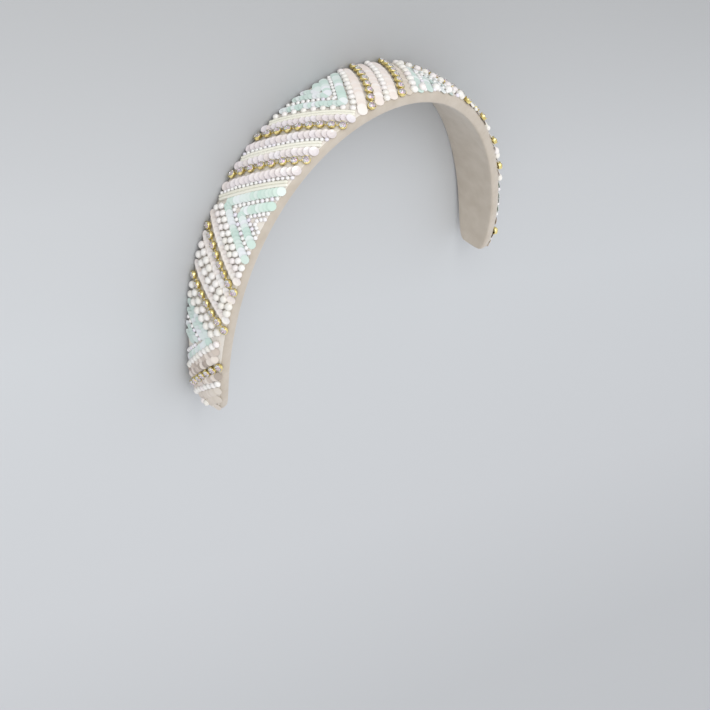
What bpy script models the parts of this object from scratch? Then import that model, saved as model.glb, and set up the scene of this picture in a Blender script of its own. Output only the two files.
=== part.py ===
"""A padded satin headband with slanted groups of bead rows and rhinestone cup chains on its outer face.

The hoop lies on its rear side wall with the front wall up. Positions on it are given as s, the
millimetres along the middle of the inner face from the crown, v, the millimetres across from the
front wall (negative) to the rear wall (positive), and a lift off the inner or the outer face."""

import math

import bmesh
import bpy
import numpy as np

MM = 0.001

# The hoop
HALF_LENGTH = 161.0
CROWN_RADIUS = 71.2
LEG_RADIUS = 135.0
BEND_FROM = 0.20
BEND_TO = 0.75
CROWN_WIDTH = 30.2
TIP_WIDTH = 7.4
TAPER_POWER = 0.3

# Its padded section
WALL_CROWN = 4.9
WALL_TIP = 3.9
DOME_CROWN = 2.0
DOME_TIP = 0.6
DOME_POWER = 2.4
CORNER = 0.8
SHOULDER = 0.5
SHOULDER_AT = 0.96
DOME_STEPS = (SHOULDER_AT, 0.82, 0.6, 0.3, 0.0, -0.3, -0.6, -0.82, -SHOULDER_AT)
HOOP_STEPS = 34

# The plane that the rear wall rests on: its distance behind the middle at the crown, and its slope
REST_AT_CROWN = 14.8
REST_SLOPE = 0.0272

# Beads on the outer face
CLEARANCE = 0.35
SEAM = 0.2
FRONT_MARGIN = 0.7
REAR_MARGIN = 0.9
VALLEY = 0.55
END_HEIGHT = 0.8
BUNDLE_STATIONS = (0.0, 0.07, 0.28, 0.5, 0.72, 0.93, 1.0)

# Rhinestone cup chain
CUP_RADIUS = 1.95
CUP_HEIGHT = 1.6
LINK_HEIGHT = 0.7
TABLE_RADIUS = 1.05
TABLE_HEIGHT = 2.5
CHAIN_PITCH = 4.4
CHAIN_HALF = 2.15
CHAIN_FRONT_INSET = 0.4
CHAIN_REAR_INSET = 1.8
SIDES = 8

# What a row of each kind is: its width along the face and its height
ROW_KINDS = {
    "pearl": {"width": 3.6, "height": 2.8},
    "seed": {"width": 2.3, "height": 2.0},
    "rope": {"width": 2.2, "height": 1.3},
    "sequin": {"width": 3.4, "height": 1.5},
    "mint": {"width": 4.4, "height": 1.6},
}

# A line over the face is its s at the front wall, its s at the rear wall, and its bow, how far its
# middle lies toward higher s. name: line
CHAINS = {
    "chain_a": (-131.3, -153.0, 0.0),
    "chain_b1": (-112.9, -97.6, 0.0),
    "chain_b2": (-95.2, -76.0, 0.0),
    "chain_c1": (-35.6, -57.4, 0.0),
    "chain_c2": (-16.0, -40.4, 0.0),
    "chain_d1": (-1.8, 12.4, 1.4),
    "chain_d2": (14.2, 28.4, 0.6),
    "chain_e1": (58.5, 43.0, 0.0),
    "chain_e2": (75.0, 59.5, 0.0),
    "chain_f1": (93.0, 111.5, 0.0),
    "chain_f2": (110.0, 126.5, 0.0),
    "chain_g": (151.0, 140.0, 0.0),
}

# The lines where bead rows of two directions meet, named by the two pieces beside them
SEAMS = {
    "tip_a": (-158.6, -158.8, 0.0),
    "tip_a_a": (-143.0, -158.0, 0.0),
    "a_mint": (-115.8, -142.5, 0.0),
    "mint_b": (-115.2, -133.0, 0.0),
    "b_mint": (-83.2, -63.0, 0.0),
    "mint_c": (-48.2, -68.0, 0.0),
    "c_mint": (-2.4, -27.8, 0.0),
    "c_d": (-7.8, 8.7, 0.0),
    "mint_d": (-11.6, 5.2, 0.5),
    "d_mint": (23.2, 38.4, 0.0),
    "mint_e": (47.4, 36.8, 0.0),
    "e_mint": (87.6, 72.6, 0.0),
    "e_f": (86.3, 105.7, 0.0),
    "mint_f": (82.6, 102.0, 0.0),
    "f_mint": (119.6, 133.6, 0.0),
    "mint_g": (139.0, 134.4, 0.0),
    "tip_g": (158.6, 158.8, 0.0),
}

# A bundle lies between two chains or seams, its low side first. Cover is the share of the width that
# it spans, and its rows run from low s to high s.
# name, low side, high side, cover, rows
BUNDLES = (
    ("tip_patch_a", "tip_a", "tip_a_a", (0.0, 0.8), ("sequin",) * 3),
    ("bundle_a_low", "tip_a_a", "chain_a", (0.0, 1.0), ("seed", "sequin")),
    ("bundle_a_high", "chain_a", "a_mint", (0.0, 1.0), ("sequin", "sequin", "seed")),
    ("mint_a", "a_mint", "mint_b", (0.2, 1.0), ("mint", "seed")),
    ("bundle_b_low", "mint_b", "chain_b1", (0.06, 1.0), ("mint", "seed", "mint", "pearl", "pearl")),
    ("bundle_b_mid", "chain_b1", "chain_b2", (0.0, 1.0), ("sequin", "pearl", "pearl", "seed")),
    ("bundle_b_high", "chain_b2", "b_mint", (0.0, 1.0), ("sequin", "pearl")),
    ("mint_b", "b_mint", "mint_c", (0.0, 0.8), ("mint",) * 7),
    ("bundle_c_low", "mint_c", "chain_c1", (0.0, 1.0), ("rope", "seed", "sequin")),
    ("bundle_c_mid", "chain_c1", "chain_c2", (0.0, 1.0), ("sequin", "rope", "seed", "sequin")),
    ("bundle_c_high", "chain_c2", "c_mint", (0.0, 1.0), ("sequin", "rope", "seed")),
    ("mint_c", "c_mint", "mint_d", (0.3, 1.0), ("mint",) * 6),
    ("bundle_d_low", "mint_d", "chain_d1", (0.0, 1.0), ("pearl", "sequin")),
    ("bundle_d_mid", "chain_d1", "chain_d2", (0.0, 1.0), ("sequin", "pearl", "sequin")),
    ("bundle_d_high", "chain_d2", "d_mint", (0.0, 1.0), ("sequin", "pearl")),
    ("mint_d", "d_mint", "mint_e", (0.0, 0.85), ("mint",) * 5),
    ("bundle_e_low", "mint_e", "chain_e1", (0.0, 1.0), ("seed", "pearl")),
    ("bundle_e_mid", "chain_e1", "chain_e2", (0.0, 1.0), ("sequin", "rope", "seed", "sequin")),
    ("bundle_e_high", "chain_e2", "e_mint", (0.0, 1.0), ("sequin", "rope", "seed")),
    ("mint_e", "e_mint", "mint_f", (0.28, 1.0), ("mint",) * 6),
    ("bundle_f_low", "mint_f", "chain_f1", (0.0, 1.0), ("pearl", "sequin")),
    ("bundle_f_mid", "chain_f1", "chain_f2", (0.0, 1.0), ("seed", "pearl", "pearl", "sequin")),
    ("bundle_f_high", "chain_f2", "f_mint", (0.0, 1.0), ("sequin", "pearl")),
    ("mint_f", "f_mint", "mint_g", (0.0, 0.88), ("mint",) * 4),
    ("bundle_g_low", "mint_g", "chain_g", (0.0, 1.0), ("seed", "sequin")),
    ("tip_patch_g", "chain_g", "tip_g", (0.0, 1.0), ("sequin", "seed", "sequin", "sequin")),
)

# name: the seam that its high side stops at
STOPS_AT = {
    "bundle_b_high": "mint_c",
    "bundle_c_high": "c_d",
    "bundle_d_high": "mint_e",
    "bundle_e_high": "e_f",
}

# name: the two seams, the lower of which its low side stays above
STARTS_ABOVE = {"bundle_d_low": ("c_mint", "c_d"), "bundle_f_low": ("e_mint", "e_f")}

# name: colour, roughness, metallic
FINISHES = {
    "satin": ((0.72, 0.71, 0.68), 0.45, 0.0),
    "gold": ((0.75, 0.60, 0.28), 0.25, 1.0),
    "bead": ((0.80, 0.77, 0.72), 0.25, 0.0),
    "mint": ((0.60, 0.80, 0.74), 0.25, 0.0),
}


def clear_scene():
    for old in list(bpy.data.objects):
        bpy.data.objects.remove(old, do_unlink=True)


def smooth(low, high, value):
    step = np.clip((value - low) / (high - low), 0.0, 1.0)
    return step * step * (3.0 - 2.0 * step)


def hoop_line():
    """s, x, y and heading along one half of the inner face: tight at the crown, opening to the legs."""
    s = np.linspace(0.0, HALF_LENGTH, 641)
    opened = smooth(BEND_FROM, BEND_TO, s / HALF_LENGTH)
    bend = (1.0 - opened) / CROWN_RADIUS + opened / LEG_RADIUS
    step = np.diff(s)
    heading = np.concatenate([[0.0], np.cumsum((bend[1:] + bend[:-1]) / 2 * step)])
    along, down = np.cos(heading), np.sin(heading)
    x = np.concatenate([[0.0], np.cumsum((along[1:] + along[:-1]) / 2 * step)])
    y = -np.concatenate([[0.0], np.cumsum((down[1:] + down[:-1]) / 2 * step)])
    return s, x, y, heading


LINE = hoop_line()


def taper(s):
    """1 at the crown and 0 at the ends, falling fastest near the ends so that they are round."""
    share = np.clip(np.abs(s) / HALF_LENGTH, 0.0, 1.0)
    return np.clip(np.cos(share * math.pi / 2), 0.0, 1.0) ** TAPER_POWER


def front_half(s):
    return (TIP_WIDTH + (CROWN_WIDTH - TIP_WIDTH) * taper(s)) / 2


def wall_height(s):
    return WALL_TIP + (WALL_CROWN - WALL_TIP) * taper(s)


def rear_half(s, height=WALL_CROWN):
    """As wide as the front half, but cut flat where the rear wall rests."""
    y = np.interp(np.abs(s), LINE[0], LINE[2]) + np.cos(np.interp(np.abs(s), LINE[0], LINE[3])) * height
    return np.minimum(front_half(s), REST_AT_CROWN + REST_SLOPE * y)


def face_height(s, v):
    half = np.where(v < 0, front_half(s), rear_half(s))
    dome = DOME_TIP + (DOME_CROWN - DOME_TIP) * taper(s)
    return wall_height(s) + dome * (1.0 - np.clip(np.abs(v) / half, 0.0, 1.0) ** DOME_POWER)


def place(s, v, height):
    """World points in millimetres of s, v and a height off the inner face."""
    s, v, height = np.broadcast_arrays(np.asarray(s, float), v, height)
    side = np.sign(s)
    heading = np.interp(np.abs(s), LINE[0], LINE[3])
    x = side * (np.interp(np.abs(s), LINE[0], LINE[1]) + np.sin(heading) * height)
    y = np.interp(np.abs(s), LINE[0], LINE[2]) + np.cos(heading) * height
    tilt = math.atan(REST_SLOPE)
    z = REST_AT_CROWN * math.cos(tilt) - v * math.cos(tilt) + y * math.sin(tilt)
    return np.stack([x, y * math.cos(tilt) + v * math.sin(tilt), z], axis=-1)


def on_face(s, v):
    """Points on the outer face and its outward normals."""
    s, v = np.broadcast_arrays(np.asarray(s, float), v)
    d = 0.05
    along = place(s + d, v, face_height(s + d, v)) - place(s - d, v, face_height(s - d, v))
    across = place(s, v + d, face_height(s, v + d)) - place(s, v - d, face_height(s, v - d))
    normal = np.cross(along, across)
    normal /= np.linalg.norm(normal, axis=-1, keepdims=True)
    return place(s, v, face_height(s, v)), normal


def across(t, s):
    """v at the share t of the way over the beaded face, from the front wall to the rear wall."""
    start = FRONT_MARGIN - front_half(s)
    return start + t * (rear_half(s) - REAR_MARGIN - start)


def solid(name, points, faces, finish):
    mesh = bpy.data.meshes.new(name)
    mesh.from_pydata([tuple(point * MM) for point in points], [], faces)
    body = bmesh.new()
    body.from_mesh(mesh)
    bmesh.ops.recalc_face_normals(body, faces=body.faces)
    body.to_mesh(mesh)
    body.free()
    mesh.materials.append(finish)
    obj = bpy.data.objects.new(name, mesh)
    bpy.context.collection.objects.link(obj)
    return obj


def make_finish(name):
    colour, roughness, metallic = FINISHES[name]
    material = bpy.data.materials.new(name)
    material.use_nodes = True
    shader = material.node_tree.nodes["Principled BSDF"]
    shader.inputs["Base Color"].default_value = (*colour, 1.0)
    shader.inputs["Roughness"].default_value = roughness
    shader.inputs["Metallic"].default_value = metallic
    return material


def build_band(finish):
    """One closed body lofted through the sections: flat inside, upright walls, domed outside."""
    u = np.linspace(0.0, 1.0, HOOP_STEPS + 1)
    half_stations = HALF_LENGTH * (0.5 * u + 0.5 * np.sin(u * math.pi / 2))
    stations = np.concatenate([-half_stations[:0:-1], half_stations])
    points = []
    for s in stations:
        front, rear = float(front_half(s)), float(rear_half(s))
        wall = float(wall_height(s))
        section = [(-front + CORNER, 0.0), (rear - CORNER, 0.0)]
        section += [(float(rear_half(s, height)), height) for height in (CORNER, wall - SHOULDER)]
        for share in DOME_STEPS:
            v = share * (rear if share > 0 else front)
            section.append((v, float(face_height(s, v))))
        section += [(-front, wall - SHOULDER), (-front, CORNER)]
        points += [place(s, v, height) for v, height in section]
    count = len(section)
    faces = []
    for i in range(len(stations) - 1):
        for j in range(count):
            a, b = i * count + j, i * count + (j + 1) % count
            faces.append((a, b, b + count, a + count))
    faces.append(tuple(range(count)))
    faces.append(tuple(range((len(stations) - 1) * count, len(stations) * count)))
    return solid("padded_band", np.array(points), faces, finish)


def on_line(line, t):
    """s at the share t of the way along a line, from the front wall to the rear wall."""
    front, rear, bow = line
    return front + (rear - front) * t + 4.0 * bow * t * (1.0 - t)


def slant_share(line):
    """How much longer a width is along s than square to a line."""
    front, rear, _ = line
    return math.hypot(1.0, (rear - front) / (2 * float(front_half((front + rear) / 2))))


def side_at(side, toward, t):
    """s along a bundle's side: toward is +1 for its low side and -1 for its high side."""
    if side in CHAINS:
        line = CHAINS[side]
        return on_line(line, t) + toward * CHAIN_HALF * slant_share(line)
    return on_line(SEAMS[side], t) + toward * SEAM


def build_bundle(name, low, high, cover, rows, finish):
    """A closed slab over its quarter of the face, with one rounded ridge for each row."""
    widths = np.array([ROW_KINDS[kind]["width"] for kind in rows])
    heights = [ROW_KINDS[kind]["height"] for kind in rows]
    edges = np.concatenate([[0.0], np.cumsum(widths)]) / widths.sum()
    shares, lifts = [0.0], [VALLEY * heights[0]]
    for i, height in enumerate(heights):
        following = heights[i + 1] if i + 1 < len(heights) else height
        shares += [(edges[i] + edges[i + 1]) / 2, edges[i + 1]]
        lifts += [height, VALLEY * min(height, following)]
    stations = cover[0] + (cover[1] - cover[0]) * np.array(BUNDLE_STATIONS)
    low_s, high_s = side_at(low, 1, stations), side_at(high, -1, stations)
    if name in STOPS_AT:
        high_s = np.minimum(high_s, side_at(STOPS_AT[name], -1, stations))
    if name in STARTS_ABOVE:
        first, second = (side_at(seam, 1, stations) for seam in STARTS_ABOVE[name])
        low_s = np.maximum(low_s, np.minimum(first, second))
    s = low_s[:, None] + (high_s - low_s)[:, None] * np.array(shares)[None, :]
    v = across(stations[:, None], s)
    base, normal = on_face(s, v)
    lift = np.tile(np.array(lifts), (len(stations), 1))
    lift[[0, -1]] = np.minimum(lift[[0, -1]], END_HEIGHT)
    top = base + normal * (CLEARANCE + lift)[..., None]
    bottom = (base + normal * CLEARANCE)[:, ::2]
    across_top, across_bottom, count = len(shares), len(rows) + 1, len(stations)
    offset = count * across_top
    points = np.concatenate([top.reshape(-1, 3), bottom.reshape(-1, 3)])
    faces = []
    for i in range(count - 1):
        for j in range(across_top - 1):
            a = i * across_top + j
            faces.append((a, a + 1, a + 1 + across_top, a + across_top))
        for j in range(across_bottom - 1):
            a = offset + i * across_bottom + j
            faces.append((a, a + across_bottom, a + 1 + across_bottom, a + 1))
        for j, k in ((0, 0), (across_top - 1, across_bottom - 1)):
            a, b = i * across_top + j, offset + i * across_bottom + k
            faces.append((a, b, b + across_bottom, a + across_top))
    for i in (0, count - 1):
        for row in range(len(rows)):
            a, b = i * across_top + 2 * row, offset + i * across_bottom + row
            faces.append((a, a + 1, a + 2, b + 1, b))
    return solid(name, points, faces, finish)


def build_chain(name, line, finish):
    """Eight-sided cups in line, joined by low bars, each with a stone of eight facets and a table."""
    front, rear, _ = line
    middle = (front + rear) / 2
    width = float(front_half(middle) + rear_half(middle)) - FRONT_MARGIN - REAR_MARGIN
    first, last = CHAIN_FRONT_INSET / width, 1.0 - CHAIN_REAR_INSET / width
    number = int(math.hypot(rear - front, width) * (last - first) / CHAIN_PITCH + 0.5) + 1
    t = np.linspace(first, last, number)
    s = on_line(line, t)
    v = across(t, s)
    base, normal = on_face(s, v)
    ahead = np.gradient(base, axis=0)
    ahead -= normal * (ahead * normal).sum(axis=1, keepdims=True)
    ahead /= np.linalg.norm(ahead, axis=1, keepdims=True)
    beside = np.cross(normal, ahead)
    points, faces = [], []

    def ring(i, radius, height):
        first = len(points)
        for k in range(SIDES):
            angle = math.pi / SIDES * (2 * k + 1)
            flat = ahead[i] * math.cos(angle) + beside[i] * math.sin(angle)
            points.append(base[i] + normal[i] * (CLEARANCE + height) + flat * radius)
        return list(range(first, first + SIDES))

    feet, bars = [], []
    for i in range(number):
        foot = ring(i, CUP_RADIUS, 0.0)
        bar = ring(i, CUP_RADIUS, LINK_HEIGHT)
        rim = ring(i, CUP_RADIUS, CUP_HEIGHT)
        table = ring(i, TABLE_RADIUS, TABLE_HEIGHT)
        used = (({0, 7} if i < number - 1 else set()) | ({3, 4} if i else set()))
        for k in range(SIDES):
            n = (k + 1) % SIDES
            wall = [rim[n], rim[k]]
            if {k, n} in ({0, 7}, {3, 4}) and k in used:
                wall += [bar[k], bar[n]]
            else:
                wall += [bar[k]] * (k in used) + [foot[k], foot[n]] + [bar[n]] * (n in used)
            faces.append(tuple(wall))
            faces.append((rim[k], rim[n], table[n], table[k]))
        faces.append(tuple(table))
        faces.append(tuple(foot))
        feet.append(foot)
        bars.append(bar)
    for i in range(number - 1):
        a, b, c, d = feet[i][0], feet[i][7], feet[i + 1][4], feet[i + 1][3]
        e, f, g, h = bars[i][0], bars[i][7], bars[i + 1][4], bars[i + 1][3]
        faces += [(a, b, c, d), (e, f, g, h), (a, d, h, e), (b, c, g, f)]
    kept = sorted({index for face in faces for index in face})
    renumbered = {index: place for place, index in enumerate(kept)}
    faces = [tuple(renumbered[index] for index in face) for face in faces]
    return solid(name, np.array(points)[kept], faces, finish)


def centre(objects):
    """Moves every mesh so that the whole part stands centred on the origin with its foot at zero."""
    low, high = np.full(3, np.inf), np.full(3, -np.inf)
    for obj in objects:
        for vertex in obj.data.vertices:
            low = np.minimum(low, vertex.co)
            high = np.maximum(high, vertex.co)
    shift = -(low + high) / 2
    shift[2] = -low[2]
    for obj in objects:
        for vertex in obj.data.vertices:
            vertex.co = [value + move for value, move in zip(vertex.co, shift)]


def main():
    clear_scene()
    finishes = {name: make_finish(name) for name in FINISHES}
    objects = [build_band(finishes["satin"])]
    for name, line in CHAINS.items():
        objects.append(build_chain(name, line, finishes["gold"]))
    for name, low, high, cover, rows in BUNDLES:
        finish = finishes["mint" if name.startswith("mint") else "bead"]
        objects.append(build_bundle(name, low, high, cover, rows, finish))
    centre(objects)


main()
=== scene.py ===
"""Looks of the beaded headband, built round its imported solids.

The padded band is satin. On its outer face lie slanted groups of bead rows, with rhinestone cup
chains along them, and nested chevrons of mint sequins and white seed beads between the groups.
A place on the band is s, the millimetres along the middle of the inner face from the crown, and v,
the millimetres across, from the front wall (negative) to the rear wall (positive)."""

import math

import bpy
import numpy as np
from mathutils import Matrix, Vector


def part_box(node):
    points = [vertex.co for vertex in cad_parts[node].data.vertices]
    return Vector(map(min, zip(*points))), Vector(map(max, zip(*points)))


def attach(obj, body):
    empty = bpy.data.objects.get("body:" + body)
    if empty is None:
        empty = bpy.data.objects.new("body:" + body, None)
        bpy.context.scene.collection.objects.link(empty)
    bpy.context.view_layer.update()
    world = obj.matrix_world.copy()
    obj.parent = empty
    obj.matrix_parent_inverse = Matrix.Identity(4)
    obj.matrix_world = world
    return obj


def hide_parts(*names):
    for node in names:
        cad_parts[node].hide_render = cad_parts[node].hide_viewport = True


MM = 0.001
rng = np.random.default_rng(41)

# The hoop and its padded section, in millimetres, the same as the solids
HALF_LENGTH = 161.0
CROWN_RADIUS, LEG_RADIUS = 71.2, 135.0
BEND_FROM, BEND_TO = 0.20, 0.75
CROWN_WIDTH, TIP_WIDTH = 30.2, 7.4
TAPER_POWER = 0.3
WALL_CROWN, WALL_TIP = 4.9, 3.9
DOME_CROWN, DOME_TIP = 2.0, 0.6
DOME_POWER = 2.4
CORNER = 0.8
REST_AT_CROWN, REST_SLOPE = 14.8, 0.0272
REST_TILT = math.atan(REST_SLOPE)
FRONT_MARGIN, REAR_MARGIN = 0.7, 0.9

# The satin's soft shoulders and how far its front wall bulges, and the grid that it is made on:
# stations along half the hoop, points over the inner face, the dome and a quarter turn, and the places
# up a side wall, as shares of its height
SHOULDER = 1.3
WALL_BULGE = 0.25
SATIN_STATIONS = 261
INNER_POINTS, DOME_POINTS, TURN_POINTS = 13, 17, 5
WALL_SHARES = (0.35, 0.7)

# Puckers of the front wall: their depth, their waves in radians a millimetre, and the slower waves
# that shift them along and let them fade
PUCKER = 0.07
PUCKER_WAVE, SHIFT_WAVE, FADE_WAVE = 1.9, 0.31, 0.23

# The outer face is longer than the inner one by the heading times this height
UNROLL_HEIGHT = 6.5

# Steps of the sums along half the hoop and of the table that rolls a length back to s, and the small
# step that a direction on the face is worked out from
HOOP_STEPS, ROLL_STEPS = 641, 1281
SMALL_STEP = 0.05

# Rhinestone cup chain: its cups, the distance between them, half the room it takes, and how far its
# end cups stay from the face's edges
CUP_RADIUS, CUP_HEIGHT = 1.85, 1.9
CHAIN_PITCH = 4.4
CHAIN_HALF = 2.15
CHAIN_FRONT_INSET, CHAIN_REAR_INSET = 0.4, 1.8

# A cup's base stands this far off the face, and by this share of its radius more as it leans. The
# front two cups lean by these shares only, and the rest by all of it, give or take some degrees.
CUP_STAND, CUP_LEAN_STAND = 0.15, 0.45
FRONT_LEAN = (0.1, 0.5)
CUP_LEAN_SPREAD = 3.0

# The stone's girdle and its height in the cup, as shares of the cup's, the foil's distance below it,
# and the bars between cups: half sizes and height over the base
STONE_SHARE, SEAT_SHARE = 0.86, 0.78
FOIL_DROP = 0.08
BAR_HALF = (0.6, 0.32, 0.28)
BAR_HEIGHT = 0.6

# A line over the face is its s at the front wall, its s at the rear wall, and its bow, how far its
# middle lies toward higher s. The last column is how far, in degrees, the cups lean toward higher s.
CHAINS = {
    "chain_a": (-131.3, -153.0, 0.0, -20.0),
    "chain_b1": (-112.9, -97.6, 0.0, -20.0),
    "chain_b2": (-95.2, -76.0, 0.0, -20.0),
    "chain_c1": (-35.6, -57.4, 0.0, 21.0),
    "chain_c2": (-16.0, -40.4, 0.0, 21.0),
    "chain_d1": (-1.8, 12.4, 1.4, 22.0),
    "chain_d2": (14.2, 28.4, 0.6, 22.0),
    "chain_e1": (58.5, 43.0, 0.0, -12.0),
    "chain_e2": (75.0, 59.5, 0.0, -12.0),
    "chain_f1": (93.0, 111.5, 0.0, 14.0),
    "chain_f2": (110.0, 126.5, 0.0, 14.0),
    "chain_g": (151.0, 140.0, 0.0, 16.0),
}

# The lines where rows of two directions meet
SEAMS = {
    "tip_a": (-159.6, -159.8, 0.0),
    "tip_a_a": (-143.0, -158.0, 0.0),
    "a_mint": (-115.8, -142.5, 0.0),
    "mint_b": (-115.2, -133.0, 0.0),
    "b_mint": (-83.2, -63.0, 0.0),
    "mint_c": (-48.2, -68.0, 0.0),
    "c_mint": (-2.4, -27.8, 0.0),
    "c_d": (-7.8, 8.7, 0.0),
    "mint_d": (-11.6, 5.2, 0.5),
    "d_mint": (23.2, 38.4, 0.0),
    "mint_e": (47.4, 36.8, 0.0),
    "e_mint": (87.6, 72.6, 0.0),
    "e_f": (86.3, 105.7, 0.0),
    "mint_f": (82.6, 102.0, 0.0),
    "f_mint": (119.6, 133.6, 0.0),
    "mint_g": (139.0, 134.4, 0.0),
    "tip_g": (159.6, 159.8, 0.0),
}

# Between two chains or seams, the low side first: kinds of row in order, spread over the width
# name, low side, high side, cover, rows
GROUPS = (
    ("bundle_a_low", "tip_a_a", "chain_a", (0.0, 1.0), ("small_pearl", "frill")),
    ("bundle_a_high", "chain_a", "a_mint", (0.1, 1.0), ("frill", "frill", "small_pearl")),
    ("bundle_b_mid", "chain_b1", "chain_b2", (0.0, 1.0), ("blush", "pearl", "pearl", "blush")),
    ("bundle_b_high", "chain_b2", "b_mint", (0.0, 1.0), ("blush", "small_pearl", "small_pearl")),
    ("bundle_c_low", "mint_c", "chain_c1", (0.0, 1.0), ("rope", "tiny", "sequin")),
    ("bundle_c_mid", "chain_c1", "chain_c2", (0.0, 1.0), ("sequin", "rope", "tiny", "sequin")),
    ("bundle_c_high", "chain_c2", "c_mint", (0.0, 1.0), ("sequin", "rope", "dot")),
    ("bundle_d_low", "mint_d", "chain_d1", (0.0, 1.0), ("small_pearl", "shingle")),
    ("bundle_d_mid", "chain_d1", "chain_d2", (0.0, 1.0), ("shingle", "small_pearl", "shingle")),
    ("bundle_d_high", "chain_d2", "d_mint", (0.0, 1.0), ("cream", "pearl")),
    ("bundle_e_mid", "chain_e1", "chain_e2", (0.0, 1.0), ("sequin", "rope", "tiny", "sequin")),
    ("bundle_e_high", "chain_e2", "e_mint", (0.0, 1.0), ("sequin", "rope", "dot")),
    ("bundle_f_low", "mint_f", "chain_f1", (0.0, 1.0), ("small_pearl", "shingle")),
    ("bundle_f_mid", "chain_f1", "chain_f2", (0.0, 1.0), ("blush", "pearl", "pearl", "blush")),
    ("bundle_f_high", "chain_f2", "f_mint", (0.0, 1.0), ("blush", "pearl")),
    ("bundle_g_low", "mint_g", "chain_g", (0.0, 1.0), ("seed", "frill")),
    ("tip_patch_g", "chain_g", "tip_g", (0.0, 0.95), ("frill", "seed", "cream", "cream")),
)

# name: the seam that its rows stop at, and the two seams whose lower one its rows start above
STOPS_AT = {
    "bundle_b_high": "mint_c",
    "bundle_c_high": "c_d",
    "bundle_d_high": "mint_e",
    "bundle_e_high": "e_f",
}
STARTS_ABOVE = {"bundle_d_low": ("c_mint", "c_d"), "bundle_f_low": ("e_mint", "e_f")}

# Chevrons: rows parallel to the low side and to the high side, meeting on the middle line
# name, low side, high side, rows inward from the low side, rows inward from the high side
MINT_ROWS = ("mint", "seed", "mint") + ("seed",) * 8
FLAT_ROWS = ("mint", "seed", "mint", "mint", "seed", "mint", "mint")
BESIDE_B1 = ("pearl", "pearl", "mint", "mint", "seed", "mint", "mint")
FIELDS = (
    ("tip_patch_a", "tip_a", "tip_a_a", (), ("cream",) * 4),
    ("mint_a", "a_mint", "mint_b", ("mint", "seed", "mint", "seed", "mint"), ()),
    ("bundle_b_low", "mint_b", "chain_b1", (), BESIDE_B1),
    ("mint_b", "b_mint", "mint_c", MINT_ROWS, MINT_ROWS),
    ("mint_c", "c_mint", "mint_d", FLAT_ROWS, FLAT_ROWS),
    ("mint_d", "d_mint", "mint_e", MINT_ROWS, MINT_ROWS),
    ("bundle_e_low", "mint_e", "chain_e1", (), ("pearl", "seed", "mint")),
    ("mint_e", "e_mint", "mint_f", FLAT_ROWS, FLAT_ROWS),
    ("mint_f", "f_mint", "mint_g", MINT_ROWS, MINT_ROWS),
)

# One more row in a field, of pearls that hang at its edge. field: kind, s at both ends, share of the
# way over the face at both ends
EDGE_ROWS = {
    "mint_d": ("edge_pearl", 54.0, 25.5, 0.045, 0.045),
    "tip_patch_a": ("small_pearl", -158.4, -158.0, 0.74, 0.40),
}

# What a row is: the width it takes, the distance from piece to piece, the half sizes of one piece
# along the row, across it and upright, how deep a bead sits, and how far a disc leans, in degrees,
# with its rear edge on the disc behind it. Kinds without a lean are beads, and rope is twin cords.
KINDS = {
    "pearl": {"width": 3.7, "pitch": 3.75, "half": (1.72, 1.85, 1.5), "sink": 0.5},
    "edge_pearl": {"width": 3.7, "pitch": 8.0, "half": (1.75, 1.85, 1.6), "sink": 0.2},
    "small_pearl": {"width": 3.1, "pitch": 3.1, "half": (1.42, 1.55, 1.3), "sink": 0.3},
    "dot": {"width": 3.0, "pitch": 3.8, "half": (1.4, 1.35, 1.2), "sink": 0.3},
    "seed": {"width": 2.1, "pitch": 2.15, "half": (0.98, 1.02, 0.9), "sink": 0.4},
    "tiny": {"width": 1.6, "pitch": 2.0, "half": (0.97, 0.85, 0.8), "sink": 0.1},
    "rope": {"width": 2.8, "pitch": 0.28, "half": (0.72, 0.72, 0.72), "sink": 0.0},
    "sequin": {"width": 3.8, "pitch": 2.35, "half": (2.05, 2.05, 2.05), "lean": 12.0},
    "blush": {"width": 3.4, "pitch": 2.0, "half": (1.9, 1.9, 1.9), "lean": 12.0},
    "shingle": {"width": 3.7, "pitch": 1.5, "half": (2.1, 2.1, 2.1), "lean": 10.0},
    "cream": {"width": 3.5, "pitch": 1.5, "half": (2.0, 2.0, 2.0), "lean": 7.0},
    "frill": {"width": 3.2, "pitch": 1.9, "half": (1.8, 1.8, 1.8), "lean": 24.0},
    "mint": {"width": 3.4, "pitch": 1.7, "half": (2.0, 2.0, 2.0), "lean": 10.0},
}
FLAT_KINDS = ("shingle", "cream", "frill", "mint")
SMALL_BEADS = ("seed", "tiny")

# Room left free at the rear end of a row: a share of a disc's radius, or half a bead and a gap. At
# the front end it is a share of that.
DISC_END, END_GAP, FRONT_SHARE = 0.9, 0.25, 0.6

# A disc's middle lies off the face by a share of its radius times the sine of its lean, and a gap
DISC_RISE, DISC_GAP = 0.85, 0.25

# How far single pieces differ from their row: in place, and in size and lean as shares
PLACE_SPREAD, SIZE_SPREAD, LEAN_SPREAD = 0.05, 0.02, 0.15

# Twin cords: how far their ribs swell, how high their middles are over the face and how far to either
# side of the row's line, all in radii, how many ribs round off their ends and what is left at the
# tips, the room at their ends, their sides, and the least number of ribs worth laying
ROPE_RIB, ROPE_HEIGHT, ROPE_APART = 0.09, 0.9, 0.92
ROPE_ROUNDED, ROPE_TIP = 2.0, 0.02
ROPE_END, ROPE_SIDES, ROPE_LEAST = 0.6, 8, 8

# How close a row comes to what stops it, as a share of its width: a seam, or the other side of a field
# that has rows along one side only
SEAM_ROOM, SIDE_ROOM = 0.4, 0.25

# Points of a row's line before its pieces are spaced over it, in a group, a field and an edge row,
# and how far a field's line runs along its side, past the rear wall and before the front one
GROUP_STEPS, FIELD_STEPS, EDGE_STEPS = 160, 700, 120
FIELD_REACH = (60.0, -30.0)
FEWEST_POINTS = 4

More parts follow.
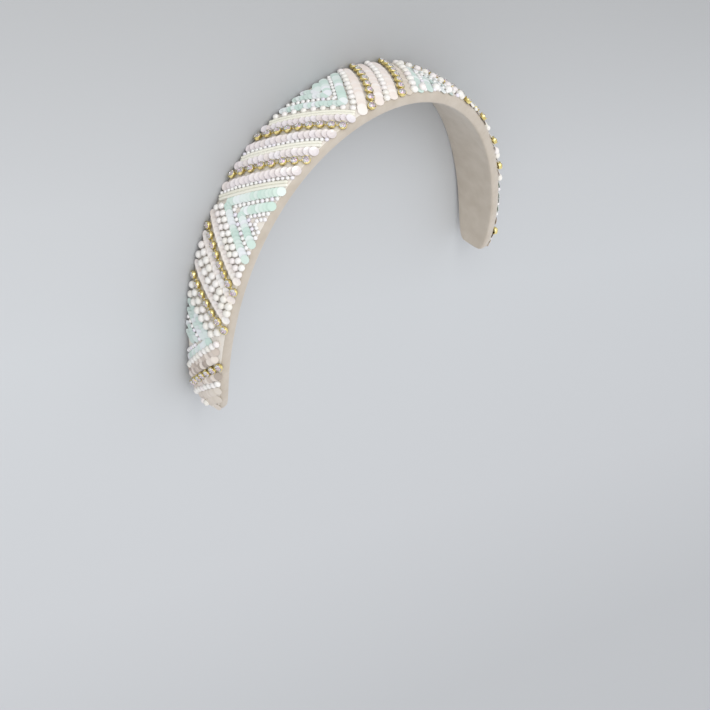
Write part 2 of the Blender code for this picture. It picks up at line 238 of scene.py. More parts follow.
# Camera, in millimetres and degrees, at the photograph's angle to the band
CAMERA_AT = (-438.0, 480.4, 495.0)
CAMERA_AIM = (2.3, -88.2, 12.0)
CAMERA_ROLL = 124.66
LENS = 94.05
SENSOR = 36.0

# A large soft key light behind the crown and an even pale room, in metres and watts
KEY_AT, KEY_AIM = (-0.20, 0.70, 0.60), (0.0, 0.02, 0.0)
KEY_SIZE, KEY_WATTS = 0.6, 3.0
ROOM_TONE, ROOM_STRENGTH = (0.96, 0.97, 1.0), 1.05

# The floor: half its side in metres, and its tone, a painted shade that is lighter in the middle and
# darker toward both ends, as a level direction, the distances in metres that the tone runs between,
# and its stops
FLOOR_REACH = 3.0
FLOOR_SHADE_DIRECTION = (0.38, 0.92)
FLOOR_SHADE_SPAN = (-0.35, 0.09)
FLOOR_SHADE_STOPS = (
    (0.0, (0.480, 0.490, 0.498)),
    (0.34, (0.530, 0.541, 0.551)),
    (0.66, (0.530, 0.545, 0.555)),
    (0.80, (0.500, 0.511, 0.518)),
    (1.0, (0.400, 0.406, 0.408)),
)


def smooth(low, high, value):
    """0 below low, 1 above high, and 3t^2 - 2t^3 between."""
    step = np.clip((value - low) / (high - low), 0.0, 1.0)
    return step * step * (3.0 - 2.0 * step)


def hoop_line():
    """s, x, y and heading along one half of the inner face. Its bend goes smoothly from the crown's
    to the leg's, heading is the sum of the bend, and x and y are the sums of its cosine and sine."""
    s = np.linspace(0.0, HALF_LENGTH, HOOP_STEPS)
    opened = smooth(BEND_FROM, BEND_TO, s / HALF_LENGTH)
    bend = (1.0 - opened) / CROWN_RADIUS + opened / LEG_RADIUS
    step = np.diff(s)
    heading = np.concatenate([[0.0], np.cumsum((bend[1:] + bend[:-1]) / 2 * step)])
    along, down = np.cos(heading), np.sin(heading)
    x = np.concatenate([[0.0], np.cumsum((along[1:] + along[:-1]) / 2 * step)])
    y = -np.concatenate([[0.0], np.cumsum((down[1:] + down[:-1]) / 2 * step)])
    return s, x, y, heading


LINE = hoop_line()


def heading_at(s):
    """The heading at a place, read from the hoop's line."""
    return np.interp(np.abs(s), LINE[0], LINE[3])


def taper(s):
    """1 at the crown, 0 at the ends: the cosine of a quarter turn over the half length, to a power."""
    share = np.clip(np.abs(s) / HALF_LENGTH, 0.0, 1.0)
    return np.clip(np.cos(share * math.pi / 2), 0.0, 1.0) ** TAPER_POWER


def front_half(s):
    """Half the width, from the tip's to the crown's by the taper."""
    return (TIP_WIDTH + (CROWN_WIDTH - TIP_WIDTH) * taper(s)) / 2


def wall_height(s):
    """Height of the side walls, from the tip's to the crown's by the taper."""
    return WALL_TIP + (WALL_CROWN - WALL_TIP) * taper(s)


def rear_half(s, height=WALL_CROWN):
    """As wide as the front half, but cut flat by the plane that the rear wall rests on."""
    y = np.interp(np.abs(s), LINE[0], LINE[2]) + np.cos(heading_at(s)) * height
    return np.minimum(front_half(s), REST_AT_CROWN + REST_SLOPE * y)


def face_height(s, v):
    """Height of the outer face: the wall plus a dome of 1 - (share of the half width) ^ power."""
    half = np.where(v < 0, front_half(s), rear_half(s))
    dome = DOME_TIP + (DOME_CROWN - DOME_TIP) * taper(s)
    return wall_height(s) + dome * (1.0 - np.clip(np.abs(v) / half, 0.0, 1.0) ** DOME_POWER)


def place(s, v, height):
    """Points of s, v and a height off the inner face: out along the hoop's normal, then tilted so that
    the rear wall rests on the floor."""
    s, v, height = np.broadcast_arrays(np.asarray(s, float), v, height)
    heading = heading_at(s)
    x = np.sign(s) * (np.interp(np.abs(s), LINE[0], LINE[1]) + np.sin(heading) * height)
    y = np.interp(np.abs(s), LINE[0], LINE[2]) + np.cos(heading) * height
    z = REST_AT_CROWN * math.cos(REST_TILT) - v * math.cos(REST_TILT) + y * math.sin(REST_TILT)
    return np.stack([x, y * math.cos(REST_TILT) + v * math.sin(REST_TILT), z], axis=-1) + SHIFT


def place_shift():
    """What moves the formulas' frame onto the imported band: its middle in x, its low ends in y and z."""
    low, high = (np.array(corner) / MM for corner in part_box("padded_band"))
    tips = place(HALF_LENGTH, np.array([-1.0, 1.0]) * (front_half(HALF_LENGTH) - CORNER), 0.0)
    return np.array([(low[0] + high[0]) / 2, low[1] - tips[:, 1].min(), low[2]])


def surface(s, v, lift=0.0):
    """Points on the outer face, or a lift off it."""
    return place(s, v, face_height(s, v) + lift)


def normal_at(s, v):
    """Outward unit normal of the outer face, the cross product of its two small steps."""
    along = surface(s + SMALL_STEP, v) - surface(s - SMALL_STEP, v)
    across = surface(s, v + SMALL_STEP) - surface(s, v - SMALL_STEP)
    return unit(np.cross(along, across))


def unit(vectors):
    """Each vector over its own length."""
    return vectors / np.linalg.norm(vectors, axis=-1, keepdims=True)


def across_face(t, s):
    """v at the share t of the way over the beaded face, from the front margin to the rear margin."""
    start = FRONT_MARGIN - front_half(s)
    return start + t * (rear_half(s) - REAR_MARGIN - start)


def unrolled(s):
    """Length along the outer face: s plus the heading times the face's height."""
    return s + np.sign(s) * heading_at(s) * UNROLL_HEIGHT


def rolled(length):
    """The s at a length along the outer face, by interpolation in unrolled()."""
    grid = np.linspace(-HALF_LENGTH, HALF_LENGTH, ROLL_STEPS)
    return np.interp(length, unrolled(grid), grid)


def turned(radii, heights, sides, looped=False):
    """A profile turned round z. Ring i is (r cos a, r sin a, h), a radius of 0 is one point, and a
    looped profile joins its last ring to its first. Returns points and faces by their corners."""
    angles = np.arange(sides) * 2 * math.pi / sides
    circle = np.stack([np.cos(angles), np.sin(angles)], axis=1)
    points, rings = [], []
    for radius, height in zip(radii, heights):
        size = sides if radius > 0 else 1
        rings.append(np.arange(size) + sum(len(p) for p in points))
        flat = circle[:size] * radius
        points.append(np.column_stack([flat, np.full(size, height)]))
    faces = {3: [], 4: []}
    pairs = list(zip(rings[:-1], rings[1:]))
    if looped:
        pairs.append((rings[-1], rings[0]))
    for lower, upper in pairs:
        next_lower, next_upper = np.roll(lower, -1), np.roll(upper, -1)
        if len(lower) == 1:
            faces[3].append(np.column_stack([np.full(sides, lower[0]), next_upper, upper]))
        elif len(upper) == 1:
            faces[3].append(np.column_stack([lower, next_lower, np.full(sides, upper[0])]))
        else:
            faces[4].append(np.column_stack([lower, next_lower, next_upper, upper]))
    return np.concatenate(points), {k: np.concatenate(f) for k, f in faces.items() if f}


def ball(sides, rings):
    """A unit ball: radius sin a and height -cos a, with a point at each pole."""
    a = np.linspace(0.0, math.pi, rings + 1)
    radii = np.sin(a)
    radii[[0, -1]] = 0.0
    return turned(radii, -np.cos(a), sides)


def cupped_disc(sides):
    """A unit sequin: a thin disc with a raised rim and a sunk middle, its hole closed by a stitch."""
    radii = (0.0, 1.0, 1.0, 0.55, 0.2, 0.17, 0.0)
    heights = (-0.07, 0.06, 0.11, 0.01, -0.02, 0.04, 0.07)
    return turned(radii, heights, sides)


def flat_disc(sides):
    """A unit spangle: a thin flat disc."""
    return turned((0.0, 1.0, 1.0, 0.0), (-0.03, -0.025, 0.025, 0.035), sides)


def cut_stone():
    """A stone of unit girdle radius with eight sides: table, 8 star, 8 kite and 16 girdle facets over a
    girdle and a cone of 16 facets down to its point."""
    eighth = np.arange(8)
    table_turn, girdle_turn = eighth * math.pi / 4, np.arange(16) * math.pi / 8
    middle_turn = table_turn + math.pi / 8

    def circle(turns, radius, height):
        flat = np.column_stack([np.cos(turns), np.sin(turns)]) * radius
        return np.column_stack([flat, np.full(len(turns), height)])

    points = np.concatenate([
        circle(table_turn, 0.56, 0.42),
        circle(middle_turn, 0.82, 0.26),
        circle(girdle_turn, 1.0, 0.05),
        circle(girdle_turn, 1.0, -0.05),
        [[0.0, 0.0, -0.62]],
    ])
    table, middle = eighth, 8 + eighth
    girdle, under, culet = 16 + np.arange(16), 32 + np.arange(16), 48
    ahead = np.roll(eighth, -1)
    star = np.column_stack([table, middle, table[ahead]])
    kite = np.column_stack([table, np.roll(middle, 1), girdle[::2], middle])
    left = np.column_stack([girdle[::2], girdle[1::2], middle])
    right = np.column_stack([girdle[1::2], np.roll(girdle, -2)[::2], middle])
    next_girdle, next_under = np.roll(girdle, -1), np.roll(under, -1)
    band = np.column_stack([under, next_under, next_girdle, girdle])
    cone = np.column_stack([np.full(16, culet), next_under, under])
    threes, fours = np.concatenate([star, left, right, cone]), np.concatenate([kite, band])
    return points, {3: threes, 4: fours, 8: table[None, :]}


def foil_cone(sides):
    """A unit foil: a thin cone that lies below a stone, with a short rim and a closed back."""
    radii = (0.0, 0.55, 0.98, 0.98, 0.0)
    heights = (-0.70, -0.40, -0.02, -0.08, -0.76)
    return turned(radii, heights, sides)


def toothed_cup(sides):
    """A unit cup: a ring round the stone, open below. Its rim rises to four prongs by the square of
    cos 4a and leans in over the stone, and its inner wall slopes in to its foot."""
    radii = np.array([0.86, 0.94, 0.97, 1.0, 0.97, 0.90, 0.74, 0.66])
    heights = np.array([0.0, 0.08, 0.45, 0.72, 0.80, 0.74, 0.50, 0.15])
    tooth = np.array([0.0, 0.0, 0.0, 0.10, 0.26, 0.22, 0.0, 0.0])
    lean = np.array([0.0, 0.0, 0.0, 0.02, 0.17, 0.15, 0.0, 0.0])
    points, faces = turned(radii, heights, sides, looped=True)
    ring = np.repeat(np.arange(len(radii)), sides)
    turn = np.tile(np.arange(sides) * 2 * math.pi / sides, len(radii))
    rise = np.clip(np.cos(4 * turn), 0.0, 1.0) ** 2
    points[:, 2] += tooth[ring] * rise
    points[:, :2] *= (1.0 - lean[ring] * rise)[:, None]
    return points, faces


def copies(template, centres, frames, scales):
    """A template at each centre, its axes turned to the columns of each frame and scaled. Returns all
    points and all faces by their corners."""
    points, faces = template
    scaled = points[None, :, :] * scales[:, None, :]
    moved = np.einsum("nij,nkj->nki", frames, scaled) + centres[:, None, :]
    offsets = np.arange(len(centres)) * len(points)
    all_faces = {k: (f[None] + offsets[:, None, None]).reshape(-1, k) for k, f in faces.items()}
    return moved.reshape(-1, 3), all_faces


class Heap:
    """Parts gathered for one joined mesh, each with its finish, shading and tone."""

    def __init__(self):
        self.points, self.count = [], 0
        self.faces, self.finishes, self.tones = [], [], []

    def add(self, template, centres, frames, scales, finish, rounded=True):
        """Adds a copy of the template at each centre. Each copy has one random tone, and its faces are
        numbered on from the points already there."""
        if len(centres) == 0:
            return
        points, faces = copies(template, centres, frames, scales)
        if finish not in self.finishes:
            self.finishes.append(finish)
        index = self.finishes.index(finish)
        for corners, rows in faces.items():
            self.faces.append((corners, rows + self.count, index, rounded))
        self.tones.append(np.repeat(rng.random(len(centres)), len(template[0])))
        self.points.append(points)
        self.count += len(points)

    def make(self, name):
        """Writes the arrays into one mesh object: a face starts in the list of corners where the ones
        before it end."""
        points = np.concatenate(self.points)
        corners, faces, numbers, flags = zip(*self.faces)
        sizes = [len(rows) for rows in faces]
        loops = np.concatenate([rows.ravel() for rows in faces])
        totals, index, rounded = (np.repeat(column, sizes) for column in (corners, numbers, flags))
        starts = np.cumsum(totals) - totals
        mesh = bpy.data.meshes.new(name)
        mesh.vertices.add(len(points))
        mesh.vertices.foreach_set("co", (points * MM).astype(np.float32).ravel())
        mesh.loops.add(len(loops))
        mesh.loops.foreach_set("vertex_index", loops.astype(np.int32))
        mesh.polygons.add(len(totals))
        mesh.polygons.foreach_set("loop_start", starts.astype(np.int32))
        mesh.polygons.foreach_set("material_index", index.astype(np.int32))
        mesh.polygons.foreach_set("use_smooth", rounded)
        for finish in self.finishes:
            mesh.materials.append(finish)
        tone = mesh.attributes.new("tone", "FLOAT", "POINT")
        tone.data.foreach_set("value", np.concatenate(self.tones).astype(np.float32))
        mesh.update(calc_edges=True)
        mesh.validate()
        obj = bpy.data.objects.new(name, mesh)
        bpy.context.collection.objects.link(obj)
        return obj


def frames_at(s, v, ahead):
    """Axes along the row, across it and off the face, as matrix columns: the direction ahead less its
    share along the normal, the cross product of the two others, and the normal."""
    normal = normal_at(s, v)
    ahead = unit(ahead - normal * (ahead * normal).sum(axis=1, keepdims=True))
    return np.stack([ahead, np.cross(normal, ahead), normal], axis=-1)


def leaning(frames, degrees):
    """Frames turned by some degrees about their second axis, so that a disc's rear edge lies on the one
    behind it."""
    a = np.radians(degrees)
    along, beside, up = frames[..., 0], frames[..., 1], frames[..., 2]
    c, s = np.cos(a)[:, None], np.sin(a)[:, None]
    return np.stack([along * c - up * s, beside, up * c + along * s], axis=-1)


def spun(frames, turns):
    """Frames turned by some radians about their own third axis."""
    c, s = np.cos(turns)[:, None], np.sin(turns)[:, None]
    along, beside, up = frames[..., 0], frames[..., 1], frames[..., 2]
    return np.stack([along * c + beside * s, beside * c - along * s, up], axis=-1)


def spaced(s, v, pitch, start, end):
    """Places about a pitch apart along a line on the face, and the line's direction at each: the length
    between the start and the end room is shared out evenly. One place alone is in the middle."""
    points = surface(s, v)
    length = np.concatenate([[0.0], np.cumsum(np.linalg.norm(np.diff(points, axis=0), axis=1))])
    room = length[-1] - start - end
    if room < 0:
        return np.empty(0), np.empty(0), np.empty((0, 3))
    number = int(room / pitch + 0.5) + 1
    stops = start + np.linspace(0.0, room, number) if number > 1 else np.array([length[-1] / 2])
    direction = np.gradient(points, axis=0)
    ahead = np.stack([np.interp(stops, length, direction[:, k]) for k in range(3)], axis=1)
    return np.interp(stops, length, s), np.interp(stops, length, v), ahead


def on_line(line, t):
    """s at the share t of the way along a line, from the front wall to the rear wall: straight, plus a
    bow of 4t(1 - t)."""
    front, rear, bow = line[:3]
    return front + (rear - front) * t + 4.0 * bow * t * (1.0 - t)


def side_at(side, toward, t):
    """s along a group's side: a seam, or a chain's line moved along s, toward +1 or -1, by half the
    chain's room over the cosine of its slant."""
    if side in SEAMS:
        return on_line(SEAMS[side], t)
    front, rear = CHAINS[side][:2]
    slant = math.hypot(1.0, (rear - front) / (2 * float(front_half((front + rear) / 2))))
    return on_line(CHAINS[side], t) + toward * CHAIN_HALF * slant


def lay_row(heap, kind, s, v):
    """Lays one row of a kind along a line on the face, from the rear to the front. Each piece stands on
    the face's normal, ahead along the line, and differs a little in place, size and lean. A disc leans
    on the one behind it and is spun about its own axis."""
    if kind == "rope":
        lay_rope(heap, s, v)
        return
    entry = KINDS[kind]
    half = np.array(entry["half"])
    room = DISC_END * half[0] if "lean" in entry else half[0] + END_GAP
    places, offsets, ahead = spaced(s, v, entry["pitch"], room, FRONT_SHARE * room)
    number = len(places)
    if number == 0:
        return
    places = places + rng.normal(0.0, PLACE_SPREAD, number)
    offsets = offsets + rng.normal(0.0, PLACE_SPREAD, number)
    frames = frames_at(places, offsets, ahead)
    scales = half * rng.normal(1.0, SIZE_SPREAD, (number, 1))
    up = frames[..., 2]
    base = surface(places, offsets)
    if "lean" in entry:
        lean = entry["lean"] * rng.normal(1.0, LEAN_SPREAD, number)
        frames = spun(leaning(frames, lean), rng.uniform(0.0, math.pi, number))
        lift = DISC_RISE * half[0] * np.sin(np.radians(lean)) + DISC_GAP
        disc = SPANGLE if kind in FLAT_KINDS else SEQUIN
        heap.add(disc, base + up * lift[:, None], frames, scales, FINISH[kind], rounded=False)
        return
    template = SEED if kind in SMALL_BEADS else PEARL
    heap.add(template, base + up * (half[2] - entry["sink"]), frames, scales, FINISH[kind])


def lay_rope(heap, s, v):
    """Twin cords side by side: tubes whose radius swells and shrinks by a cosine with each short rib,
    and closes at both ends by a square root."""
    radius = KINDS["rope"]["half"][0]
    places, offsets, ahead = spaced(s, v, KINDS["rope"]["pitch"], ROPE_END, ROPE_END)
    if len(places) < ROPE_LEAST:
        return
    frames = frames_at(places, offsets, ahead)
    count = np.arange(len(places))
    rib = 1.0 + ROPE_RIB * np.cos(count * math.pi)
    from_end = np.minimum(count, count[::-1]) + ROPE_TIP
    closing = np.sqrt(np.clip(from_end / ROPE_ROUNDED, 0.0, 1.0))
    radii = (radius * rib * closing)[:, None, None]
    turn = (np.arange(ROPE_SIDES) * 2 * math.pi / ROPE_SIDES)[None, :, None]
    circle = frames[:, None, :, 1] * np.cos(turn) + frames[:, None, :, 2] * np.sin(turn)
    rings = np.arange(len(places) * ROPE_SIDES).reshape(-1, ROPE_SIDES)
    ahead_rings = np.roll(rings, -1, axis=1)
    quads = np.stack([rings[:-1], ahead_rings[:-1], ahead_rings[1:], rings[1:]], axis=-1)
    faces = {4: quads.reshape(-1, 4), ROPE_SIDES: np.stack([rings[0][::-1], rings[-1]])}
    base = surface(places, offsets, ROPE_HEIGHT * radius)
    for side in (-1, 1):
        centre = base + frames[..., 1] * (side * radius * ROPE_APART)
        points = (centre[:, None, :] + circle * radii).reshape(-1, 3)
        heap.add((points, faces), np.zeros((1, 3)), np.eye(3)[None], np.ones((1, 3)), FINISH["rope"])


def build_group(name, low, high, cover, rows):
    """Rows between two sides: a row's line lies between them at the share of the width that the rows
    before it and half its own take up. It ends where it meets another group's seam."""
    heap = Heap()
    widths = np.array([KINDS[kind]["width"] for kind in rows])
    shares = (np.cumsum(widths) - widths / 2) / widths.sum()
    t = np.linspace(cover[1], cover[0], GROUP_STEPS)
    low_s, high_s = side_at(low, 1, t), side_at(high, -1, t)
    for kind, width, share in zip(rows, widths, shares):
        s = low_s + (high_s - low_s) * share
        inside = np.ones(len(t), bool)
        if name in STOPS_AT:
            inside = s < side_at(STOPS_AT[name], -1, t) - SEAM_ROOM * width
        if name in STARTS_ABOVE:
            first, second = (side_at(seam, 1, t) for seam in STARTS_ABOVE[name])
            inside = s > np.minimum(first, second) + SEAM_ROOM * width
        if inside.sum() > FEWEST_POINTS:
            lay_row(heap, kind, s[inside], across_face(t[inside], s[inside]))
    finish_piece(heap, name)


def flat_side(side, toward):
    """A side as a straight line on the unrolled face: its front end, its unit vector toward the rear,
    and the unit vector into the field, which is the other one turned by a quarter."""
    ends_s = side_at(side, toward, np.array([0.0, 1.0]))
    front, rear = np.stack([unrolled(ends_s), across_face(np.array([0.0, 1.0]), ends_s)], axis=1)
    along = (rear - front) / np.linalg.norm(rear - front)
    return front, along, toward * np.array([along[1], -along[0]])


def build_field(name, low, high, low_rows, high_rows):
    """Chevrons: straight rows parallel to each side on the unrolled face, each as far in as the rows
    before it and half its own width, kept where their own side is the nearer one. With rows along one
    side only, they run on to the other."""
    heap = Heap()
    reach = np.linspace(*FIELD_REACH, FIELD_STEPS)[:, None]
    sides = ((low, 1, low_rows, high, -1), (high, -1, high_rows, low, 1))
    for side, toward, rows, other, other_toward in sides:
        front, along, inward = flat_side(side, toward)
        other_front, _, other_inward = flat_side(other, other_toward)
        depth = 0.0
        for kind in rows:
            width = KINDS[kind]["width"]
            own = depth + width / 2
            depth += width
            flat = front + inward * own + along * reach
            s, v = rolled(flat[:, 0]), flat[:, 1]
            from_other = (flat[:, 0] - other_front[0]) * other_inward[0]
            from_other = from_other + (v - other_front[1]) * other_inward[1]
            limit = own if (low_rows and high_rows) else SIDE_ROOM * width
            on_face = (v > across_face(0.0, s)) & (v < across_face(1.0, s))
            inside = on_face & (from_other > limit)
            if inside.sum() > FEWEST_POINTS:
                lay_row(heap, kind, s[inside], v[inside])
    if name in EDGE_ROWS:
        kind, first, last, first_share, last_share = EDGE_ROWS[name]
        s = np.linspace(first, last, EDGE_STEPS)
        lay_row(heap, kind, s, across_face(np.linspace(first_share, last_share, EDGE_STEPS), s))
    finish_piece(heap, name)


def build_chain(name):
    """Cups about a pitch apart with a foiled stone in each, joined by short bars. They lean to one side
    by the chain's roll, the front two less, and stand higher by the sine of that roll."""
    front, rear, _, roll = CHAINS[name]
    middle = (front + rear) / 2
    width = float(front_half(middle) + rear_half(middle)) - FRONT_MARGIN - REAR_MARGIN
    first, last = CHAIN_FRONT_INSET / width, 1.0 - CHAIN_REAR_INSET / width
    number = int(math.hypot(rear - front, width) * (last - first) / CHAIN_PITCH + 0.5) + 1
    t = np.linspace(first, last, number)
    s = on_line(CHAINS[name], t)
    v = across_face(t, s)
    base = surface(s, v)
    frames = frames_at(s, v, np.gradient(base, axis=0))
    stand = CUP_STAND + CUP_LEAN_STAND * CUP_RADIUS * abs(math.sin(math.radians(roll)))
    base = base + frames[..., 2] * stand
    lean = np.full(number, roll)
    lean[:len(FRONT_LEAN)] *= FRONT_LEAN
    lean = lean + rng.normal(0.0, CUP_LEAN_SPREAD, number)
    frames = rolled_over(frames, surface(s + SMALL_STEP, v) - surface(s - SMALL_STEP, v), lean)
    up = frames[..., 2]
    heap = Heap()
    cup = np.tile([CUP_RADIUS, CUP_RADIUS, CUP_HEIGHT], (number, 1))
    heap.add(CUP, base, frames, cup, FINISH["gold"])
    stone = np.full((number, 3), CUP_RADIUS * STONE_SHARE)
    seat = base + up * CUP_HEIGHT * SEAT_SHARE
    turned_frames = spun(frames, rng.uniform(0.0, math.pi / 4, number))
    heap.add(STONE, seat, turned_frames, stone, FINISH["crystal"], rounded=False)
    heap.add(FOIL, seat - up * FOIL_DROP, turned_frames, stone, FINISH["foil"], rounded=False)
    between = (base[1:] + base[:-1]) / 2 + up[1:] * BAR_HEIGHT
    heap.add(BAR, between, frames[1:], np.tile(BAR_HALF, (number - 1, 1)), FINISH["gold"])
    finish_piece(heap, name)


def rolled_over(frames, toward, degrees):
    """Frames turned by some degrees about their first axis, so that their third one leans toward a
    direction, or for less than 0 away from it."""
    beside, up = frames[..., 1], frames[..., 2]
    sign = np.sign((beside * toward).sum(axis=1))
    a = np.radians(degrees) * sign
    c, s = np.cos(a)[:, None], np.sin(a)[:, None]
    return np.stack([frames[..., 0], beside * c - up * s, up * c + beside * s], axis=-1)


def finish_piece(heap, node):
    """Makes the heap's mesh, riding on the part, in place of the node's solid."""
    obj = heap.make(f"{node}_stones" if node in CHAINS else f"{node}_beads")
    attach(obj, "root")
    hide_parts(node)


def satin_section(s):
    """One closed section of the padding for each station, as arrays of v and height with a column for
    each point: along the flat inner face to the rear, round a small corner, up the rear wall, round a
    soft shoulder by a quarter turn's sine and cosine, over the dome, and down the front the same way.
    """
    quarter = np.linspace(0.0, math.pi / 2, TURN_POINTS)
    front, rear, wall = front_half(s), rear_half(s), wall_height(s)
    columns = []

    def put(v, height):
        columns.append(np.broadcast_arrays(v, height, s)[:2])

    def shoulder(inner_edge, a):
        top = face_height(s, inner_edge)
        return wall - SHOULDER + (top - wall + SHOULDER) * np.sin(a)

    for share in np.linspace(-1.0, 1.0, INNER_POINTS):
        put(share * ((front if share < 0 else rear) - CORNER), 0.0)
    for a in quarter[1:]:
        put(rear_half(s, CORNER) - CORNER + CORNER * np.sin(a), CORNER - CORNER * np.cos(a))
    for share in WALL_SHARES:
        height = CORNER + share * (wall - SHOULDER - CORNER)
        put(rear_half(s, height), height)
    for a in quarter[:-1]:
        height = shoulder(rear - SHOULDER, a)
        put(np.minimum(rear - SHOULDER + SHOULDER * np.cos(a), rear_half(s, height)), height)
    for share in np.linspace(1.0, -1.0, DOME_POINTS):
        v = share * ((rear if share > 0 else front) - SHOULDER)
        put(v, face_height(s, v))
    for a in quarter[::-1][1:]:
        put(-(front - SHOULDER + SHOULDER * np.cos(a)), shoulder(-(front - SHOULDER), a))
    for share in WALL_SHARES[::-1]:
        put(-front, CORNER + share * (wall - SHOULDER - CORNER))
    for a in quarter[:0:-1]:
        put(-(front - CORNER + CORNER * np.sin(a)), CORNER - CORNER * np.cos(a))
    v, height = (np.hstack(pick) for pick in zip(*columns))
    return v, height


def build_band():
    """The padded band: its closed section carried along the hoop. Stations lie closer at the ends, by a
    mean of a straight and a sine step. The front wall bulges by a sine of its height and has soft
    puckers, a product of two sines along the hoop. The face under the beads has its own backing, in a
    lighter tone than the satin: painted light that lifts the shade in the gaps between the beads."""
    u = np.linspace(0.0, 1.0, SATIN_STATIONS)
    half_stations = HALF_LENGTH * (0.5 * u + 0.5 * np.sin(u * math.pi / 2))
    s = np.concatenate([-half_stations[:0:-1], half_stations])[:, None]
    v, height = satin_section(s)
    front, wall = front_half(s), wall_height(s)
    stations = np.broadcast_to(s, v.shape)
    wave = np.sin(stations * PUCKER_WAVE + 2.0 * np.sin(stations * SHIFT_WAVE))
    wave = wave * np.sin(stations * FADE_WAVE + 1.0)
    on_front_wall = smooth(0.7, 1.0, -v / front) * smooth(0.0, 1.5, height)
    bulge = np.sin(math.pi * np.clip(height / wall, 0.0, 1.0)) * (v < -0.9 * front)
    v = v - on_front_wall * PUCKER * wave - WALL_BULGE * bulge
    points = place(stations, v, height)
    points[..., 2] = np.maximum(points[..., 2], 0.0)

    rings = np.arange(v.size).reshape(v.shape)
    beside = np.roll(rings, -1, axis=1)
    quads = np.stack([rings[:-1], rings[1:], beside[1:], beside[:-1]], axis=-1).reshape(-1, 4)
    faces = quads.tolist() + [rings[0].tolist(), rings[-1][::-1].tolist()]
    mesh = bpy.data.meshes.new("padded_satin_band")
    mesh.from_pydata((points.reshape(-1, 3) * MM).tolist(), [], faces)
    mesh.polygons.foreach_set("use_smooth", np.ones(len(faces), bool))
    mesh.materials.append(FINISH["satin"])
    mesh.materials.append(FINISH["backing_painted_light"])
    # The faces under the beads take the lighter backing: painted light against the shade between the
    # beads.
    covered = (v > across_face(0.0, s)) & (v < across_face(1.0, s)) & (height > wall - SHOULDER)
    covered = covered[:-1] & covered[1:]
    covered = (covered & np.roll(covered, -1, axis=1)).ravel()
    mesh.polygons.foreach_set("material_index", np.append(covered, [False, False]).astype(np.int32))
    mesh.update()
    obj = bpy.data.objects.new("padded_satin_band", mesh)
    bpy.context.collection.objects.link(obj)
    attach(obj, "root")
    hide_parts("padded_band")


def new_finish(name, colour, roughness, metallic=0.0, **sockets):
    """A material on a Principled shader, with plain values on its own sockets. Returns it, its nodes,
    its links and the shader."""
    material = bpy.data.materials.new(name)
    material.use_nodes = True
    nodes, links = material.node_tree.nodes, material.node_tree.links
    shader = nodes["Principled BSDF"]
    shader.inputs["Base Color"].default_value = (*colour, 1.0)
    shader.inputs["Roughness"].default_value = roughness
    shader.inputs["Metallic"].default_value = metallic
    for socket, value in sockets.items():
        shader.inputs[socket.replace("_", " ")].default_value = value
    return material, nodes, links, shader


def noise(nodes, links, scale):
    """Noise over Object coordinates, with a scale in waves per metre."""
    coordinates = nodes.new("ShaderNodeTexCoord")
    texture = nodes.new("ShaderNodeTexNoise")
    texture.inputs["Scale"].default_value = scale
    texture.inputs["Detail"].default_value = 2.0
    links.new(coordinates.outputs["Object"], texture.inputs["Vector"])
    return texture.outputs["Fac"]


def ramp(nodes, links, factor, stops):
    """A colour ramp with the given (place, colour) stops."""
    node = nodes.new("ShaderNodeValToRGB")
    while len(node.color_ramp.elements) < len(stops):
        node.color_ramp.elements.new(1.0)
    for element, (position, colour) in zip(node.color_ramp.elements, stops):
        element.position = position
        element.color = (*colour, 1.0)
    links.new(factor, node.inputs["Fac"])
    return node.outputs["Color"]


def tone_of(nodes):
    """The tone of each bead or sequin, a random share from 0 to 1 kept as an attribute."""
    node = nodes.new("ShaderNodeAttribute")
    node.attribute_name = "tone"
    return node.outputs["Fac"]


def bump(nodes, links, shader, height, strength, distance):
    """A height on the shader's normal, with its full reach in metres."""
    node = nodes.new("ShaderNodeBump")
    node.inputs["Strength"].default_value = strength
    node.inputs["Distance"].default_value = distance
    links.new(height, node.inputs["Height"])
    links.new(node.outputs["Normal"], shader.inputs["Normal"])


def toned(name, stops, roughness, metallic=0.0, **sockets):
    """A finish whose colour runs through the stops by each bead's tone, with a faint uneven surface."""
    material, nodes, links, shader = new_finish(name, stops[0][1], roughness, metallic, **sockets)
    links.new(ramp(nodes, links, tone_of(nodes), stops), shader.inputs["Base Color"])
    bump(nodes, links, shader, noise(nodes, links, 900.0), 0.12, 0.0002)
    return material


def make_satin():
    """Warm white satin, its warm tone darkened all over as painted shade: faint mottling, a sheen, and a
    fine cross weave in the bump.
    """
    material, nodes, links, shader = new_finish(
        "warm_white_satin_painted_shade", (0.49, 0.43, 0.355), 0.40, Sheen_Weight=0.3, Sheen_Roughness=0.35)
    # The base colour and these stops are the satin's own warm tone darkened as painted shade; the
    # mottling is its own.
    stops = ((0.3, (0.46, 0.40, 0.325)), (0.7, (0.52, 0.46, 0.385)))
    links.new(ramp(nodes, links, noise(nodes, links, 160.0), stops), shader.inputs["Base Color"])
    coordinates = nodes.new("ShaderNodeTexCoord")
    weave = nodes.new("ShaderNodeTexWave")
    weave.wave_type = "BANDS"
    weave.bands_direction = "DIAGONAL"
    weave.inputs["Scale"].default_value = 900.0
    weave.inputs["Distortion"].default_value = 0.6
    links.new(coordinates.outputs["Object"], weave.inputs["Vector"])
    bump(nodes, links, shader, weave.outputs["Fac"], 0.12, 0.00008)
    return material


def make_gold():
    """Pale yellow gold plate, a little duller and browner in patches."""
    material, nodes, links, shader = new_finish("gold_plate", (0.84, 0.72, 0.32), 0.27, 1.0)
    stops = ((0.35, (0.62, 0.50, 0.18)), (0.6, (0.93, 0.80, 0.36)))
    links.new(ramp(nodes, links, noise(nodes, links, 700.0), stops), shader.inputs["Base Color"])
    return material


def make_crystal():
    """Clear cut glass, with a thin film that glints."""
    return new_finish("cut_crystal", (0.97, 0.95, 0.97), 0.03, Transmission_Weight=0.85, IOR=1.55,
                      Thin_Film_Thickness=420.0, Thin_Film_IOR=1.9)[0]


